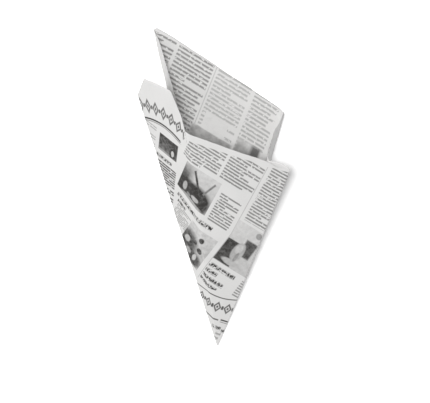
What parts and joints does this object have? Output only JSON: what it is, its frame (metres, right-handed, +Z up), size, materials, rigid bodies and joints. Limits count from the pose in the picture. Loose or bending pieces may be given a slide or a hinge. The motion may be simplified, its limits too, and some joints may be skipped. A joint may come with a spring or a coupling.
{
  "type": "pointed paper fries bag",
  "caption": "Pointed cone bag folded from one sheet of printed greaseproof paper, opened at the mouth and lying on its back.",
  "frame": {"origin": "on the table, under the middle of the whole bag's box", "axes": "+Z up off the table, +Y from the closed tip towards the mouth, +X to the right seen from above"},
  "size_m": [0.137, 0.2884, 0.1002],
  "materials": {
    "printed_paper": "matt white greaseproof paper printed in grey"
  },
  "bodies": {
    "root": {"paper_bag": "printed_paper"}
  },
  "joints": []
}
